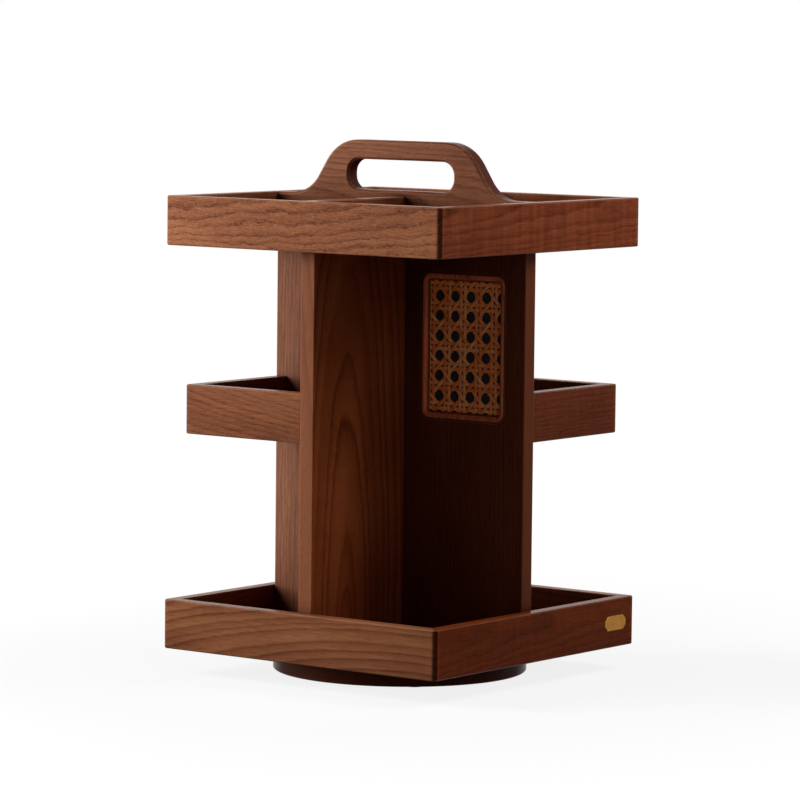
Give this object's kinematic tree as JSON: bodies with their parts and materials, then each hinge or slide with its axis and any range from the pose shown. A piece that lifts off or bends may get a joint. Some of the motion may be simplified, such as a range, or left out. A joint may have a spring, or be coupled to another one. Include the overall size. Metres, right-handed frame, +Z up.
{
  "type": "rotating makeup organizer",
  "caption": "Square wooden organizer of open trays and tall bays on a round turntable base, with a carrying handle and woven cane windows.",
  "frame": {"origin": "on the spin axis, at the level where the pads under the base meet the table", "axes": "+Z up along the spin axis; X along the handle and the long panel, Y along the short panels; +X faces the side with the badge"},
  "size_m": [0.2605, 0.26, 0.4093],
  "materials": {
    "wall_wood": "satin lacquer over dark walnut stain",
    "panel_wood": "satin lacquer over dark walnut stain",
    "floor_wood": "satin lacquer",
    "base_wood": "satin lacquer",
    "bead_wood": "satin lacquer",
    "cane": "woven split cane",
    "brass": "brushed",
    "rubber": "matte",
    "steel": "zinc plated",
    "cage_plastic": "moulded"
  },
  "bodies": {
    "base": {"base_disc": "base_wood", "base_pads": "rubber", "lower_race": "steel"},
    "cage": {"roller_cage": "cage_plastic", "bearing_rollers": "steel"},
    "carousel": {"upper_race": "steel", "centre_bolt": "steel", "threaded_insert": "brass", "bottom_tray_floor": "floor_wood", "bottom_tray_front_wall": "wall_wood", "bottom_tray_right_wall": "wall_wood", "bottom_tray_rear_wall": "wall_wood", "bottom_tray_left_wall": "wall_wood", "badge_plate": "brass", "long_panel": "panel_wood", "front_short_panel": "panel_wood", "rear_short_panel": "panel_wood", "right_cane_sheet": "cane", "left_cane_sheet": "cane", "right_window_bead": "bead_wood", "left_window_bead": "bead_wood", "left_middle_floor": "floor_wood", "left_middle_front_wall": "wall_wood", "left_middle_side_wall": "wall_wood", "right_middle_floor": "floor_wood", "right_middle_rear_wall": "wall_wood", "right_middle_side_wall": "wall_wood", "top_tray_floor": "floor_wood", "top_tray_front_wall": "wall_wood", "top_tray_right_wall": "wall_wood", "top_tray_rear_wall": "wall_wood", "top_tray_left_wall": "wall_wood", "handle_board": "panel_wood", "top_tray_front_divider": "panel_wood", "top_tray_rear_divider": "panel_wood"}
  },
  "joints": [
    {"name": "carousel_spin", "type": "hinge", "parent": "base", "child": "carousel", "pos_m": [0, 0, 0.0152], "axis": [0, 0, 1], "continuous": true},
    {"name": "cage_spin", "type": "hinge", "parent": "base", "child": "cage", "pos_m": [0, 0, 0.0152], "axis": [0, 0, 1], "continuous": true}
  ],
  "couplings": [
    {"joint": "cage_spin", "follows": "carousel_spin", "ratio": 0.5}
  ]
}
